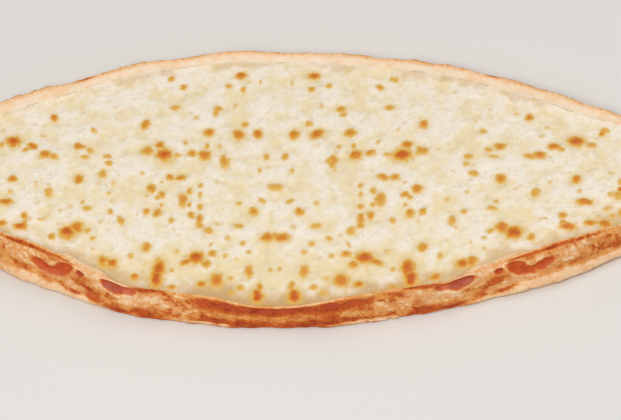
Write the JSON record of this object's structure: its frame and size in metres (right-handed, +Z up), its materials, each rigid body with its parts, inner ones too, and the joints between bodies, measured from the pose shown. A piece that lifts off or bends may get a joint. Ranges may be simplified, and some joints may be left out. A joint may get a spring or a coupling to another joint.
{
  "type": "turkish pide",
  "caption": "Boat-shaped flatbread with folded, browned dough rims and pinched tips, filled with a flat layer of melted cheese with browned bubbles.",
  "frame": {"origin": "on the flat underside, below the middle of the bread's length and width", "axes": "+X along the bread from tip to tip, +Y across it to the far rim, +Z up out of the cheese"},
  "size_m": [0.4512, 0.1546, 0.0206],
  "materials": {
    "crust": "baked wheat dough, golden with red-brown blisters and pale floury edges, matt with a faint sheen",
    "cheese": "melted mild cheese, cream white with golden-brown bubbles, softly greasy sheen"
  },
  "bodies": {
    "root": {"crust": "crust", "cheese": "cheese"}
  },
  "joints": []
}
